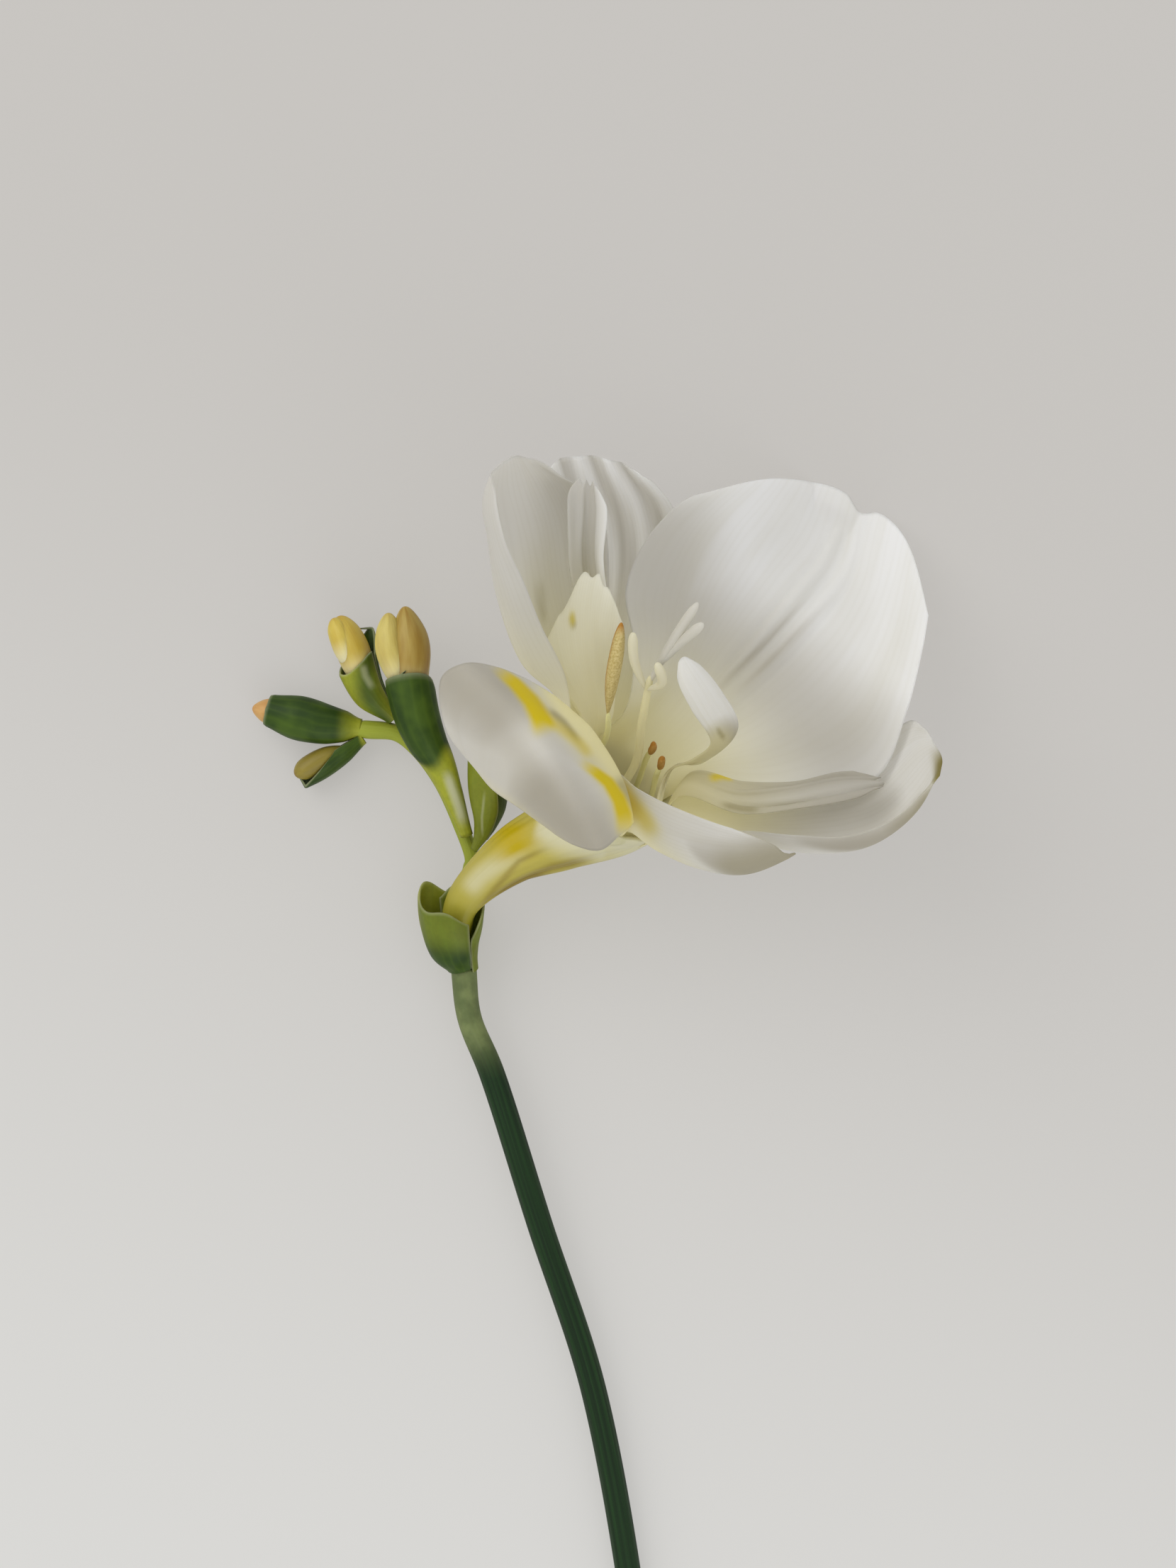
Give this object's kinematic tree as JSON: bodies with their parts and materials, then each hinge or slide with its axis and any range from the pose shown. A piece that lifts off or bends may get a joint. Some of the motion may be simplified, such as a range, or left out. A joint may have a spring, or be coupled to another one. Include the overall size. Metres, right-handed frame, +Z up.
{
  "type": "freesia flower",
  "caption": "Cut white freesia lying down: an open semi-double bloom with a yellow throat, green bracts, a bent spike of unopened buds and a curved stem.",
  "frame": {"origin": "centre of the bounding box's outline, at the height of the surface that the flower lies on", "axes": "+Z up, away from that surface; +Y along the stem, from its cut end towards the bloom; +X to the right for someone who looks down on it with the bloom at the top"},
  "size_m": [0.0842, 0.1646, 0.0474],
  "materials": {
    "petal": "satin",
    "tube": "satin",
    "pollen": "matte",
    "bud": "satin",
    "bract": "satin",
    "stem": "satin"
  },
  "bodies": {
    "root": {"scape_and_axis": "stem", "ovary": "stem", "perianth_tube": "tube", "style": "petal", "tepal_back": "petal", "tepal_left": "petal", "tepal_lower": "petal", "tepal_back_left": "petal", "tepal_lip": "petal", "tepal_right": "petal", "petaloid_1": "petal", "petaloid_2": "petal", "petaloid_3": "petal", "petaloid_4": "petal", "stamen_1": "pollen", "stamen_2": "pollen", "stamen_3": "pollen", "flower_bract_outer": "bract", "flower_bract_inner": "bract", "bract_1": "bract", "bract_2_outer": "bract", "bract_2_inner": "bract", "bract_3": "bract", "bract_4": "bract", "bract_5_outer": "bract", "bract_5_inner": "bract", "bud_1": "bud", "bud_2": "bud", "bud_3": "bud", "bud_4": "bud", "bud_5": "bud"}
  },
  "joints": []
}
